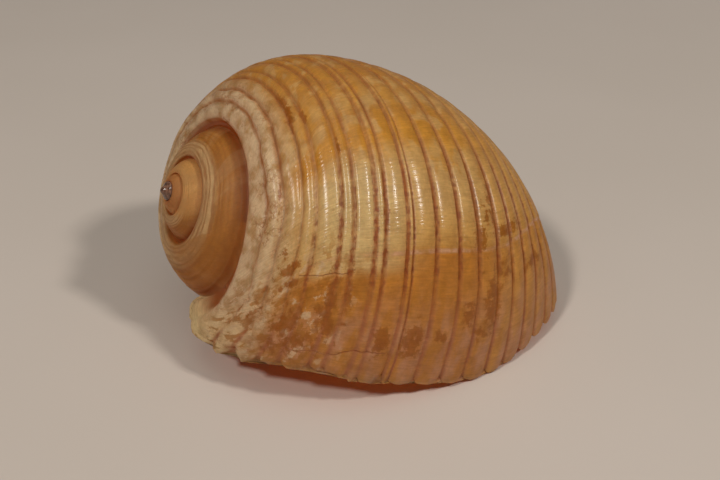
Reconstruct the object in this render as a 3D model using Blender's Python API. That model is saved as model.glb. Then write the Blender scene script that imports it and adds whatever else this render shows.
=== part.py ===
"""Sea snail shell: a large ribbed tun shell lying on its aperture.

The shell grew as one piece, so it is one solid. Its whorls follow a growth law: one cross-section, the
profile, is turned round the coiling axis and enlarged as it goes. The outside, the hollow that the animal
lived in, the lip that joins them and the pillar in the middle are lofted from that law and closed.

In the shell's own frame the coiling axis is X, from the tip towards the open end. Azimuth 0 is the middle
of the outer lip, at -Z, and azimuth grows towards +Y as the shell grew. Turns are counted from there.
The resting turn at the end lays the shell down.
"""

import math

import bmesh
import bpy
import numpy as np

MM = 0.001
TURN = 2.0 * math.pi

# The profile of the last whorl at the middle of the lip, in millimetres: distance from the axis, and
# distance along the axis from the tip. It runs from the suture over the shoulder to the open end.
PROFILE = (
    (32.7, 18.7),
    (43.7, 15.9),
    (59.9, 27.8),
    (71.5, 45.7),
    (76.5, 70.2),
    (74.6, 101.6),
    (65.4, 127.9),
    (56.0, 142.0),
    (42.0, 153.6),
    (25.0, 161.5),
    (5.4, 164.5),
)
PROFILE_SAMPLES = 1200

# Growth: each early whorl is so many times the one before, and the last whorl flares more.
WHORL_RATIO = 2.087
LAST_FLARE = 0.306
FLARE_STARTS = 0.368  # turns before the lip
FLARE_EASE = 0.15  # turns
SPIRE_POWER = 0.8235  # under 1, so the young whorls stand up in a low cone
WHORLS = 3.75

# The bead of the first chamber: how far its shoulder and its top stand over the ring it closes, and how
# wide the shoulder is against that ring.
BEAD_SHOULDER = 1.1
BEAD_TOP = 1.7
BEAD_WIDTH = 0.72

# Ribs: distance of each groove from the suture, measured along the profile at the lip.
GROOVES = (13.7, 20.4, 28.2, 33.2, 42.0, 46.4, 54.1, 57.5, 65.5, 67.7, 77.0, 86.9, 96.0, 105.7, 113.9, 122.3)
LOWER_RIB = 8.4  # rib spacing from the last of these grooves to the open end
LOWER_GROOVES = 9
GROOVE_HALF_WIDTH = 1.5
CLOSE_GROOVE_SHARE = 0.38  # half width of a groove that lies close to the next, as a share of their spacing
GROOVE_DEPTH = 1.0
RIB_CROWN = 0.25  # how far the rib at the joint stands over the profile
FAINT_RIBS = 0.2  # share of the depth that the ribs have on the young whorls
RIBS_GROW = (-1.1, -0.6)  # the turns over which they reach full depth

# Inside the opening, the older whorl's ribs are smoothed over.
GLAZE_STEPS = 4
GLAZE_EASE = 12.0

# The suture is a channel between the whorls.
ATTACH = 51.0  # where a whorl joins the one before, along the profile of the older one
CREST = 4.0  # the shoulder's crest, along the profile
SHOULDER = 9.0
JOINT_ROW = (ATTACH, -RIB_CROWN)
CHANNEL_DEPTH = 3.2
CHANNEL_STEPS = ((0.35, 1.0), (0.8, 0.6))  # share of the way to the crest, share of the depth

# The edge of the outer lip: its azimuth in degrees, along the profile. It ends in the siphon's notch.
LIP_EDGE = (
    (0.0, 57.0),
    (6.0, 52.0),
    (12.0, 39.0),
    (20.0, 26.0),
    (35.0, 10.5),
    (55.0, 3.0),
    (80.0, -1.0),
    (110.0, -5.0),
    (135.0, -14.0),
    (160.0, -20.0),
    (176.0, -27.0),
    (190.0, -46.0),
    (200.0, -48.0),
    (212.0, -41.0),
)
SUTURE_END = LIP_EDGE[0][1]
SKEW_POWER = 1.5

# The hollow
WALL = 1.8
WALL_POWER = 0.5
INNER_START = 7.5
INNER_END = 197.0
PARIETAL_FROM = 185.0
PARIETAL_TO = 56.0
PILLAR_WAIST = 4.5
PILLAR_EDGE_BULGE = 6.0
HOLLOW_TURNS = 2.25

# How finely the solid is divided
STEPS_PER_TURN = 32
SPIRE_ROW_SPACING = 8.0
INNER_ROWS = 16
PILLAR_ROWS = 8
PARIETAL_ROWS = 8
FINE_LOOPS = 4
LOOP_STRIDE = 3

# Resting pose: the tip is raised, and the shell leans on its lip.
REST_ROLL = 70.75
REST_PITCH = 22.86

SHELL_COLOUR = (0.40, 0.22, 0.075, 1.0)
SHELL_ROUGHNESS = 0.38


def smooth_curve(knots, values):
    """A natural cubic curve through the values at the knots, as a function."""
    x = np.asarray(knots, float)
    y = np.asarray(values, float)
    gap = np.diff(x)
    slope = np.diff(y) / gap
    system = np.eye(len(x))
    right = np.zeros(len(x))
    for i in range(1, len(x) - 1):
        system[i, i - 1 : i + 2] = gap[i - 1], 2 * (gap[i - 1] + gap[i]), gap[i]
        right[i] = 6 * (slope[i] - slope[i - 1])
    bend = np.linalg.solve(system, right)

    def at(where):
        where = np.asarray(where, float)
        i = np.clip(np.searchsorted(x, where) - 1, 0, len(gap) - 1)
        h, a, b = gap[i], x[i + 1] - where, where - x[i]
        cubic = (bend[i] * a**3 + bend[i + 1] * b**3) / (6 * h)
        return cubic + (y[i] / h - bend[i] * h / 6) * a + (y[i + 1] / h - bend[i + 1] * h / 6) * b

    return at


def measure_profile():
    """The profile sampled finely: distance along it, its points and its outward normals."""
    knots = np.arange(len(PROFILE))
    fine = np.linspace(0, knots[-1], PROFILE_SAMPLES)
    points = np.stack([smooth_curve(knots, column)(fine) for column in zip(*PROFILE)], axis=1)
    along = np.concatenate([[0], np.cumsum(np.linalg.norm(np.diff(points, axis=0), axis=1))])
    tangent = np.gradient(points, along, axis=0)
    normal = np.stack([tangent[:, 1], -tangent[:, 0]], axis=1)
    return along, points, normal / np.linalg.norm(normal, axis=1)[:, None]


ALONG, OUTLINE, OUTWARD = measure_profile()
PROFILE_LENGTH = ALONG[-1]
lip_edge = smooth_curve(*zip(*LIP_EDGE))


def section(along, sunk=0.0):
    """Distance from the axis and along it of a profile point, sunk under the outer face."""
    radius = np.interp(along, ALONG, OUTLINE[:, 0]) - sunk * np.interp(along, ALONG, OUTWARD[:, 0])
    height = np.interp(along, ALONG, OUTLINE[:, 1]) - sunk * np.interp(along, ALONG, OUTWARD[:, 1])
    return radius, height


def growth(turn):
    """Size of the section this many turns from the lip, against its size at the lip."""

    def eased(value):
        return FLARE_EASE * np.logaddexp(0, value / FLARE_EASE)

    flare = LAST_FLARE * (eased(turn + FLARE_STARTS) - eased(FLARE_STARTS))
    return np.exp(math.log(WHORL_RATIO) * turn + flare)


def place(turn, radius, height):
    """A point of the section in the shell's frame, in millimetres."""
    size = growth(turn)
    suture = PROFILE[0][1]
    axial = size * (height - suture) + suture * size**SPIRE_POWER
    angle = TURN * turn
    out = size * radius
    return np.stack([axial + 0 * out, out * np.sin(angle), -out * np.cos(angle)], axis=-1)


def grooves():
    """Each groove's place along the profile and its half width, narrower where two lie close."""
    places = list(GROOVES) + [GROOVES[-1] + LOWER_RIB * (i + 1) for i in range(LOWER_GROOVES)]
    half = []
    for here in places:
        near = min(abs(here - other) for other in places if other != here)
        half.append(min(GROOVE_HALF_WIDTH, CLOSE_GROOVE_SHARE * near))
    return places, half


def smooth_step(value):
    value = np.clip(value, 0, 1)
    return value * value * (3 - 2 * value)


def rib_depth(turn):
    grown = smooth_step((turn - RIBS_GROW[0]) / (RIBS_GROW[1] - RIBS_GROW[0]))
    return FAINT_RIBS + (1 - FAINT_RIBS) * grown


def profile_rows():
    """The rows of the outer skin: place along the profile, and how far each is sunk."""
    rows = [(CREST, 0.0), (SHOULDER, 0.0), JOINT_ROW, (PROFILE_LENGTH, 0.0)]
    for here, half in zip(*grooves()):
        rows += [(here - half, 0.0), (here, GROOVE_DEPTH), (here + half, 0.0)]
    return sorted(rows)


def outer_point(turn, row, glaze=1.0):
    along, sunk = row
    return place(turn, *section(along, sunk * rib_depth(turn) * glaze))


def channel_points(turn):
    """The joint with the older whorl and the floor of the channel beside it."""
    joint = outer_point(turn - 1, JOINT_ROW)
    crest = place(turn, *section(CREST))
    size = growth(turn)
    floor = []
    for share, depth in CHANNEL_STEPS:
        point = joint + share * (crest - joint)
        point[0] = crest[0] + depth * CHANNEL_DEPTH * size
        floor.append(point)
    return [joint] + floor


class Skin:
    """Points and faces of the shell as they are made."""

    def __init__(self):
        self.points = []
        self.faces = []

    def add(self, point):
        self.points.append(np.asarray(point, float))
        return len(self.points) - 1

    def add_all(self, points):
        return [self.add(point) for point in points]

    def face(self, *corners):
        kept = [c for i, c in enumerate(corners) if c != corners[i - 1]]
        if len(kept) > 2:
            self.faces.append(tuple(kept))

    def quads(self, first, second):
        for i in range(len(first) - 1):
            self.face(first[i], first[i + 1], second[i + 1], second[i])

    def reach(self, line):
        steps = [np.linalg.norm(self.points[b] - self.points[a]) for a, b in zip(line, line[1:])]
        along = np.concatenate([[0], np.cumsum(steps)])
        return along / along[-1]

    def stitch(self, first, second):
        """Triangles between two lines of points with unlike counts."""
        a, b = self.reach(first), self.reach(second)
        i = j = 0
        while i < len(first) - 1 or j < len(second) - 1:
            step_first = j == len(second) - 1 or (i < len(first) - 1 and a[i + 1] <= b[j + 1])
            if step_first:
                self.face(first[i], first[i + 1], second[j])
                i += 1
            else:
                self.face(first[i], second[j + 1], second[j])
                j += 1


def column_turn(step, last, along):
    """The azimuth of a skin point, in turns: the last whorl's columns slant until they meet the lip."""
    turn = SUTURE_END / 360 + (step - last) / STEPS_PER_TURN
    slant = max(0.0, 1 + (step - last) / STEPS_PER_TURN) ** SKEW_POWER
    return turn - slant * (SUTURE_END - lip_edge(along)) / 360


def spire_rows(rows):
    """The few rows that the small whorls need: rib tops, from the crest to the joint."""
    joint = rows.index(JOINT_ROW)
    chosen = [0]
    for i in range(1, joint):
        along, sunk = rows[i]
        clear = min(along - rows[chosen[-1]][0], 2 * (ATTACH - along))
        if sunk <= 0 and clear >= SPIRE_ROW_SPACING:
            chosen.append(i)
    return chosen + [joint]


def outer_skin(skin):
    """The outside of every whorl: its columns of point numbers, and the place of the joint in a full one."""
    rows = profile_rows()
    joint = len(CHANNEL_STEPS) + 1 + rows.index(JOINT_ROW)
    last = round(WHORLS * STEPS_PER_TURN)
    full_from = last - STEPS_PER_TURN
    columns = []
    for step in range(last + 1):
        channel = channel_points(float(column_turn(step, last, 0.0)))
        if step < STEPS_PER_TURN:
            column = [skin.add(channel[0])]
        else:
            older = columns[step - STEPS_PER_TURN]
            column = [older[-1] if step - STEPS_PER_TURN < full_from else older[joint]]
        column += skin.add_all(channel[1:])
        for i in spire_rows(rows) if step < full_from else range(len(rows)):
            below = smooth_step((rows[i][0] - ATTACH) / GLAZE_EASE)
            glaze = 1 - below * smooth_step(1 - (step - full_from) / GLAZE_STEPS)
            column.append(skin.add(outer_point(column_turn(step, last, rows[i][0]), rows[i], glaze)))
        columns.append(column)
    for first, second in zip(columns, columns[1:]):
        if len(first) == len(second):
            skin.quads(first, second)
        else:
            skin.stitch(first, second[: joint + 1])
    return columns, joint


def close_tip(skin, columns):
    """The first chamber: a small bead over the start of the spiral."""
    ring = [columns[step][0] for step in range(STEPS_PER_TURN + 1)] + columns[0][-2:0:-1]
    centre = np.mean([skin.points[i] for i in ring], axis=0)
    lowest = min(skin.points[i][0] for i in ring)
    shoulder = []
    for i in ring:
        point = centre + BEAD_WIDTH * (skin.points[i] - centre)
        point[0] = (point[0] + lowest) / 2 - BEAD_SHOULDER
        shoulder.append(skin.add(point))
    skin.quads(ring + ring[:1], shoulder + shoulder[:1])
    tip = skin.add((lowest - BEAD_TOP, centre[1], centre[2]))
    for a, b in zip(shoulder, shoulder[1:] + shoulder[:1]):
        skin.face(a, b, tip)


def inner_wall(step, last):
    """The hollow's side of the outer wall, from the suture to the open end."""
    points = []
    for along in np.linspace(INNER_START, INNER_END, INNER_ROWS):
        turn = column_turn(step, last, along)
        thickness = WALL * growth(turn) ** (WALL_POWER - 1)
        points.append(place(turn, *section(along, thickness)))
    return points


def parietal_wall(step, last):
    """The hollow's side of the older whorl."""
    turn = SUTURE_END / 360 + (step - last) / STEPS_PER_TURN - 1
    return [place(turn, *section(along)) for along in np.linspace(PARIETAL_FROM, PARIETAL_TO, PARIETAL_ROWS)]


def pillar_line(start, end, count, waist):
    """A line on the pillar between two points, drawn in towards the axis, or out where waist is negative."""
    start_angle = math.atan2(start[1], -start[2])
    turned = math.atan2(end[1], -end[2]) - start_angle
    turned = (turned + math.pi) % TURN - math.pi
    points = []
    for i in range(1, count):
        share = i / count
        radius = (1 - share) * math.hypot(*start[1:]) + share * math.hypot(*end[1:])
        radius -= waist * math.sin(math.pi * share)
        angle = start_angle + share * turned
        axial = (1 - share) * start[0] + share * end[0]
        points.append(np.array([axial, radius * math.sin(angle), -radius * math.cos(angle)]))
    return points


def hollow(skin, columns, joint):
    """The lip's edge, the hollow behind it and the pillar's outer face."""
    last = len(columns) - 1
    lip = columns[last]
    start = columns[last - STEPS_PER_TURN]
    rim = skin.add_all(inner_wall(last, last))
    skin.stitch(lip, rim)
    edge = pillar_line(skin.points[lip[-1]], skin.points[start[-1]], PILLAR_ROWS, -PILLAR_EDGE_BULGE)
    edge = [lip[-1]] + skin.add_all(edge) + [start[-1]]
    skin.stitch([column[-1] for column in columns[last - STEPS_PER_TURN :]][::-1], edge)
    parts = [rim, [rim[-1]] + edge, start[joint:][::-1], [start[joint], rim[0]]]
    step = last
    deepest = last - HOLLOW_TURNS * STEPS_PER_TURN
    while step > deepest:
        step -= 1 if step > last - FINE_LOOPS else LOOP_STRIDE
        wall = skin.add_all(inner_wall(step, last))
        older = skin.add_all(parietal_wall(step, last))
        size = float(growth(SUTURE_END / 360 + (step - last) / STEPS_PER_TURN))
        pillar = pillar_line(skin.points[wall[-1]], skin.points[older[0]], PILLAR_ROWS, PILLAR_WAIST * size)
        pillar = [wall[-1]] + skin.add_all(pillar) + [older[0]]
        new = [wall, pillar, older, [older[-1], wall[0]]]
        for before, after in zip(parts, new):
            skin.stitch(before, after)
        parts = new
    ring = parts[0][:-1] + parts[1][:-1] + parts[2]
    middle = skin.add(np.mean([skin.points[i] for i in ring], axis=0))
    for a, b in zip(ring, ring[1:] + ring[:1]):
        skin.face(a, b, middle)


def rest_points(points):
    """The points turned to the resting pose, centred on the middle of the bottom, in metres."""
    roll, pitch = math.radians(REST_ROLL), math.radians(REST_PITCH)
    about_x = np.array(
        [[1, 0, 0], [0, math.cos(roll), -math.sin(roll)], [0, math.sin(roll), math.cos(roll)]]
    ).T
    about_y = np.array(
        [[math.cos(pitch), 0, math.sin(pitch)], [0, 1, 0], [-math.sin(pitch), 0, math.cos(pitch)]]
    )
    turned = np.array(points) @ (about_y @ about_x).T
    low, high = turned.min(axis=0), turned.max(axis=0)
    origin = np.array([(low[0] + high[0]) / 2, (low[1] + high[1]) / 2, low[2]])
    return (turned - origin) * MM


def shell_material():
    material = bpy.data.materials.new("shell_carbonate")
    material.use_nodes = True
    shader = material.node_tree.nodes["Principled BSDF"]
    shader.inputs["Base Color"].default_value = SHELL_COLOUR
    shader.inputs["Roughness"].default_value = SHELL_ROUGHNESS
    shader.inputs["Metallic"].default_value = 0.0
    material.diffuse_color = SHELL_COLOUR
    return material


def make_shell(collection):
    skin = Skin()
    columns, joint = outer_skin(skin)
    close_tip(skin, columns)
    hollow(skin, columns, joint)
    mesh = bpy.data.meshes.new("shell")
    mesh.from_pydata(rest_points(skin.points).tolist(), [], skin.faces)
    work = bmesh.new()
    work.from_mesh(mesh)
    bmesh.ops.triangulate(work, faces=work.faces)
    bmesh.ops.recalc_face_normals(work, faces=work.faces)
    work.to_mesh(mesh)
    work.free()
    mesh.shade_smooth()
    mesh.materials.append(shell_material())
    shell = bpy.data.objects.new("shell", mesh)
    collection.objects.link(shell)


def main():
    for thing in list(bpy.data.objects):
        bpy.data.objects.remove(thing)
    collection = bpy.data.collections.new("sea_snail_shell")
    bpy.context.scene.collection.children.link(collection)
    make_shell(collection)


main()
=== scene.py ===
"""A large ribbed sea snail shell lying on its mouth, with its fine relief, colours and wear.

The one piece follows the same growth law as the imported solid: a profile is turned round the coiling axis
and enlarged as it goes. Here it is divided finely enough for ribs, grooves, worn lumps and the scalloped
lip to be real shape. Lengths are millimetres in the shell's own frame, where X is the coiling axis, until
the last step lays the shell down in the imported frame, in metres.

Two numbers say where a point of the wall is: its distance along the profile from the suture, and the turns
from the lip's edge back to it. Growth lines are lines of equal turns, so colour bands follow them.
"""

import itertools
import math

import bmesh
import bpy
import numpy as np
from mathutils import Matrix, Vector


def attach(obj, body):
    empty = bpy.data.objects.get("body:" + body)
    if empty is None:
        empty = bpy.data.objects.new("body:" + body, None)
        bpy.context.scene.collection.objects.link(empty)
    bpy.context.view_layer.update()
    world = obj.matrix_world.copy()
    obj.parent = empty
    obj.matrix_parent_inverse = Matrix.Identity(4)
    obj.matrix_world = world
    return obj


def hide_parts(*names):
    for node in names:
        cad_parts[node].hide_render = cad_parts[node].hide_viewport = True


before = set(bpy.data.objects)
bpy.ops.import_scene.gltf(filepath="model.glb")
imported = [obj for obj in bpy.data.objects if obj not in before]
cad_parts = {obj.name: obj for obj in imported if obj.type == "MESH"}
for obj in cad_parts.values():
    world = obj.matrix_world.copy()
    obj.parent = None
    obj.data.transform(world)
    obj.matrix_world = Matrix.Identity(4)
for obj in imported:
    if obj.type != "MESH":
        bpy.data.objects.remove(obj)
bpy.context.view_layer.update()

MM = 0.001
TURN = 2.0 * math.pi

# The profile of the last whorl at the middle of the lip: distance from the axis, and distance along it.
PROFILE = (
    (32.7, 18.7),
    (43.7, 15.9),
    (59.9, 27.8),
    (71.5, 45.7),
    (76.5, 70.2),
    (74.6, 101.6),
    (65.4, 127.9),
    (56.0, 142.0),
    (42.0, 153.6),
    (25.0, 161.5),
    (5.4, 164.5),
)
PROFILE_SAMPLES = 1200
GIRTH = TURN * max(radius for radius, _ in PROFILE)
GRID_STEP = 0.01  # the colours' grid counts the profile in lengths of 100 mm

# Growth
WHORL_RATIO = 2.087
LAST_FLARE = 0.306
FLARE_STARTS = 0.368
FLARE_EASE = 0.15
SPIRE_POWER = 0.8235
WHORLS = 3.75

# Ribs
GROOVES = (13.7, 20.4, 28.2, 33.2, 42.0, 46.4, 54.1, 57.5, 65.5, 67.7, 77.0, 86.9, 96.0, 105.7, 113.9, 122.3)
LOWER_RIB = 8.4
LOWER_GROOVES = 9
GROOVE_HALF_WIDTH = 1.25
CLOSE_GROOVE_SHARE = 0.38
GROOVE_DEPTH = 0.50
GROOVE_TINT = 1.45  # how much wider than the groove its brown tint is
TRENCH_REACH = 1.15  # in half widths of the groove
TINT_SHARES = (0.27, 0.64)  # of the wide tint and of the trench itself
ARCH_POWER = 2.2
RIB_ARCH = 1.05  # how far a wide rib's edges lie below its crest
SHOULDER_ARCH = 0.7  # how much more the ribs of the shoulder arch
WIDE_RIB = 4.0  # half width
RIB_LIFT = 0.12
FAINT_RIBS = 0.2
RIBS_GROW = (-1.1, -0.6)
RIB_CROWN = 0.25
REST_MARK = (-0.0995, -0.0975)  # turns from the lip where growth once paused
REST_STEP = 0.22
REST_FADES = (-0.09, -0.06)
LIP_FLATTENS = 0.45  # how much flatter the ribs are at the lip

# Grooves stray along the profile: the strays' length on it, how many go in a turn, how far they go on firm
# ribs and how much further on loose ones, and the seed
STRAYS = ((14.0, 24.0, 0.25, 0.85, 11), (6.0, 62.0, 0.08, 0.60, 12))
LOOSE_RIBS = (18.0, 40.0)  # from where the ribs are less loose, and where they are firm

# Worn lumps: height, size and seed
SHOULDER_LUMPS = ((0.36, 8.5, 3), (0.16, 3.6, 4))
CORNER_LUMPS = ((0.45, 1.7, 6), (0.65, 4.2, 7))
WALL_LUMPS = ((0.05, 5.0, 8), (0.10, 16.0, 9))
PIT_DEPTH = 0.35
PIT_SIZE = 3.4

# Suture
ATTACH = 51.0
CREST = 4.0
CHANNEL_DEPTH = 3.2
CHANNEL_KNOTS = (0.0, 0.35, 0.8, 1.0)  # share of the way from the joint to the crest
CHANNEL_FLOOR = (1.0, 0.6)  # share of the depth at the two middle knots
CHANNEL_FILLS = (-0.085, -0.02)  # turns from the lip over which the channel ends
CHANNEL_ROWS = (0.10, 0.22, 0.35, 0.50, 0.65, 0.80, 0.92)

# The outer lip's edge: along the profile, and azimuth in degrees
LIP_EDGE = (
    (0.0, 57.0),
    (6.0, 52.0),
    (12.0, 39.0),
    (20.0, 26.0),
    (35.0, 10.5),
    (55.0, 3.3),
    (80.0, -0.7),
    (110.0, -5.0),
    (135.0, -14.0),
    (160.0, -20.0),
    (176.0, -27.0),
    (190.0, -46.0),
    (200.0, -48.0),
    (212.0, -41.0),
)
SUTURE_END = LIP_EDGE[0][1]
LIP_LEAN = (-0.95, -0.2)  # turns over which the columns come to lean as the lip does
LIP_NOTCH = 0.8  # how far a groove's end lies behind a rib's end
LIP_SCALLOP = 1.5
LIP_NOTCH_REACH = 0.03  # turns
LIP_CHIPS = ((3.6, 2.4, 21), (1.44, 1.7, 22))  # length and depth of the ragged edge's chips, and the seed
LIP_ROUNDING = 0.35
LIP_ROUNDING_REACH = 0.004  # turns

# Hollow
LIP_WALL = 0.9
LIP_THICKENS = 0.03  # turns
WALL = 1.8
WALL_POWER = 0.5
INNER_START = 15.0
INNER_END = 197.0
PARIETAL_FROM = 185.0
PARIETAL_TO = 56.0
PILLAR_WAIST = 4.5
PILLAR_EDGE_BULGE = 6.0
HOLLOW_TURNS = 2.25
HOLLOW_EASE = 0.04  # turns over which the mouth's edge passes into the hollow
FIRST_LOOP = 0.0025  # turns from one loop of the hollow to the next: at the lip, how it grows, and at most
LOOPS_WIDEN = 0.16
WIDEST_LOOP = 0.024

# The bead of the first chamber
BEAD_SHOULDER = 1.1
BEAD_TOP = 2.0
BEAD_WIDTH = 0.52
BEAD_BULGE = 0.16
BEAD_LOOPS = (0.25, 0.5, 0.75, 1.0, 1.2, 1.4, 1.6, 1.8)  # up to 1 on its side, and past that on its cap
BEAD_CAP = 0.95

# Resting pose, and the middle of the bottom of the shell's box once it is turned
REST_ROLL = 70.75
REST_PITCH = 22.86
REST_ORIGIN = (67.748, -13.637, -55.489)
REST_LIFT = 0.16  # the scalloped lip hangs a little lower than the faceted one
FIT = 0.9975  # keeps the arched ribs inside the box of the faceted solid

# How finely the piece is divided
FRONT_STEPS = 124  # steps in the part of a turn that ends at the lip
FRONT_SHARE = 0.31
BACK_STEPS = 104
RIM_STEP = 0.0006  # turns from the last column but one to the lip's edge
OUTER_OFFSETS = (-1.5, -0.95, -0.5, 0.0, 0.5, 0.95, 1.5)  # rows beside a groove, in its half widths
COARSE_OFFSETS = (-1.0, 0.0, 1.0)
OUTER_GAP = 2.2
COARSE_GAP = 4.0
PILLAR_ROWS = 18
PARIETAL_ROWS = 34
CORNER_ROWS = 3

# Camera, fitted to the photo: what it aims at in the row frame, and how it stands to that
CAMERA_AIM = (-5.671, -6.62, 30.589)
CAMERA_DISTANCE = 354.64
CAMERA_AZIMUTH = -27.615
CAMERA_ELEVATION = 29.316
CAMERA_ROLL = 0.319
CAMERA_LENS = 51.545
SENSOR_WIDTH = 36.0

# Soft studio light. Lamps: azimuth and elevation, distance and size in metres, and power in watts
LAMPS = {
    "left_lamp": (-62.0, 47.0, 2.4, 0.24, 25.5),
    "right_lamp": (28.0, 47.0, 2.4, 0.24, 24.0),
    "ceiling_glow": (-25.0, 78.0, 2.0, 1.6, 6.0),
}
WARM_WHITE = (1.0, 0.95, 0.89)
ROOM_LIGHT = 0.10
TABLE_SIZE = 6.0


def smooth_curve(knots, values):
    """A natural cubic curve through the values at the knots, as a function."""
    x = np.asarray(knots, float)
    y = np.asarray(values, float)
    gap = np.diff(x)
    slope = np.diff(y) / gap
    system = np.eye(len(x))
    right = np.zeros(len(x))
    for i in range(1, len(x) - 1):
        system[i, i - 1 : i + 2] = gap[i - 1], 2 * (gap[i - 1] + gap[i]), gap[i]
        right[i] = 6 * (slope[i] - slope[i - 1])
    bend = np.linalg.solve(system, right)

    def at(where):
        where = np.asarray(where, float)
        i = np.clip(np.searchsorted(x, where) - 1, 0, len(gap) - 1)
        h, a, b = gap[i], x[i + 1] - where, where - x[i]
        cubic = (bend[i] * a**3 + bend[i + 1] * b**3) / (6 * h)
        return cubic + (y[i] / h - bend[i] * h / 6) * a + (y[i + 1] / h - bend[i + 1] * h / 6) * b

    return at


def measure_profile():
    """The profile sampled finely: distance along it, its points and its outward normals."""
    knots = np.arange(len(PROFILE))
    fine = np.linspace(0, knots[-1], PROFILE_SAMPLES)
    points = np.stack([smooth_curve(knots, column)(fine) for column in zip(*PROFILE)], axis=1)
    along = np.concatenate([[0], np.cumsum(np.linalg.norm(np.diff(points, axis=0), axis=1))])
    tangent = np.gradient(points, along, axis=0)
    normal = np.stack([tangent[:, 1], -tangent[:, 0]], axis=1)
    return along, points, normal / np.linalg.norm(normal, axis=1)[:, None]


ALONG, OUTLINE, OUTWARD = measure_profile()
PROFILE_LENGTH = ALONG[-1]
lip_edge = smooth_curve(*zip(*LIP_EDGE))


def section(along, sunk=0.0):
    """Distance from the axis and along it of a profile point, sunk under the outer face."""
    radius = np.interp(along, ALONG, OUTLINE[:, 0]) - sunk * np.interp(along, ALONG, OUTWARD[:, 0])
    height = np.interp(along, ALONG, OUTLINE[:, 1]) - sunk * np.interp(along, ALONG, OUTWARD[:, 1])
    return radius, height


def growth(turn):
    """Size of the section this many turns from the lip, against its size at the lip."""

    def eased(value):
        return FLARE_EASE * np.logaddexp(0, value / FLARE_EASE)

    flare = LAST_FLARE * (eased(turn + FLARE_STARTS) - eased(FLARE_STARTS))
    return np.exp(math.log(WHORL_RATIO) * turn + flare)


def place(turn, radius, height):
    """A point of the section in the shell's frame, in millimetres."""
    size = growth(turn)
    suture = PROFILE[0][1]
    axial = size * (height - suture) + suture * size**SPIRE_POWER
    angle = TURN * turn
    out = size * radius
    return np.stack([axial + 0 * out, out * np.sin(angle), -out * np.cos(angle)], axis=-1)


def grooves():
    """Each groove's place along the profile and its half width, narrower where two lie close."""
    places = list(GROOVES) + [GROOVES[-1] + LOWER_RIB * (i + 1) for i in range(LOWER_GROOVES)]
    half = []
    for here in places:
        near = min(abs(here - other) for other in places if other != here)
        half.append(min(GROOVE_HALF_WIDTH, CLOSE_GROOVE_SHARE * near))
    return np.array(places), np.array(half)


GROOVE_AT, GROOVE_HALF = grooves()


def smooth_step(value):
    value = np.clip(value, 0, 1)
    return value * value * (3 - 2 * value)


def ramp(value, start, end):
    """Smoothly 0 at the start and 1 at the end."""
    return smooth_step((value - start) / (end - start))


def lattice_noise(points, lump, seed):
    """Smooth noise from -1 to 1 at each point, with lumps of that size in the points' own unit."""
    scaled = np.asarray(points, float) / lump
    cell = np.floor(scaled).astype(np.int64)
    part = smooth_step(scaled - cell)
    total = np.zeros(scaled.shape[:-1])
    for corner in itertools.product((0, 1), repeat=3):
        key = cell + corner
        hashed = key[..., 0] * 73856093 ^ key[..., 1] * 19349663 ^ key[..., 2] * 83492791 ^ seed * 2654435761
        hashed = (hashed ^ (hashed >> 13)) * 1274126177 & 0xFFFFFFFF
        hashed = (hashed ^ (hashed >> 16)) & 0xFFFF
        weight = np.prod(np.where(corner, part, 1 - part), axis=-1)
        total += weight * (hashed / 32767.5 - 1)
    return total


def rib_depth(turn):
    return FAINT_RIBS + (1 - FAINT_RIBS) * ramp(turn, *RIBS_GROW)


def wander(along, turn):
    """How far the grooves stray along the profile, most where the ribs beside the suture are worn."""
    loose = 1 - ramp(along, *LOOSE_RIBS)
    total = 0.0
    for length, per_turn, firm, more, seed in STRAYS:
        spot = np.stack([along / length, turn * per_turn, np.zeros_like(along)], axis=-1)
        total = total + (firm + more * loose) * lattice_noise(spot, 1.0, seed)
    return total


def groove_nearness(along):
    """1 in the middle of a groove and 0 on a rib; how far the arched rib has fallen, 0 to 1; and the tint."""
    apart = np.abs(along[..., None] - GROOVE_AT)
    trench = (1 - ramp(apart / GROOVE_HALF, 0.0, TRENCH_REACH)).max(axis=-1)
    wide = (1 - ramp(apart / (GROOVE_TINT * GROOVE_HALF), 0.1, 1.0)).max(axis=-1)
    tint = TINT_SHARES[0] * wide + TINT_SHARES[1] * trench
    tint = tint * (0.8 + 0.2 * ramp(along, 46.0, 64.0))
    rib = np.clip(np.searchsorted(GROOVE_AT, along), 1, len(GROOVE_AT) - 1)
    half = (GROOVE_AT[rib] - GROOVE_AT[rib - 1]) / 2
    aside = np.abs(along - GROOVE_AT[rib - 1] - half) / half
    fallen = np.clip(aside, 0, 1) ** ARCH_POWER * np.minimum(1, half / WIDE_RIB)
    strong = 1 + SHOULDER_ARCH * (1 - ramp(along, 24.0, 40.0))
    return trench, strong * fallen * ramp(along, 5.0, 11.0) * (1 - ramp(along, 195.0, 205.0)), tint


def lumpy_noise(base, lumps):
    """The sum of several noises, each with its height, size and seed."""
    return sum(height * lattice_noise(base, size, seed) for height, size, seed in lumps)


def worn_lumps(along, turn, base):
    """The worn lumps and pits of the shoulder and of the lip's rough corner, in millimetres inwards."""
    shoulder = ramp(along, 1.5, 6.0) * (1 - ramp(along, 18.0, 34.0)) * ramp(turn, -1.0, -0.5)
    uneven = lumpy_noise(base, SHOULDER_LUMPS)
    pits = PIT_DEPTH * ramp(lattice_noise(base, PIT_SIZE, 5), 0.45, 0.85)
    grown = turn - lip_edge(along) / 360
    corner = (1 - ramp(along, 16.0, 32.0)) * ramp(grown, -0.085, -0.025)
    everywhere = lumpy_noise(base, WALL_LUMPS) * ramp(turn, -1.3, -0.7)
    return shoulder * (uneven + pits) + corner * lumpy_noise(base, CORNER_LUMPS) + everywhere


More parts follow.
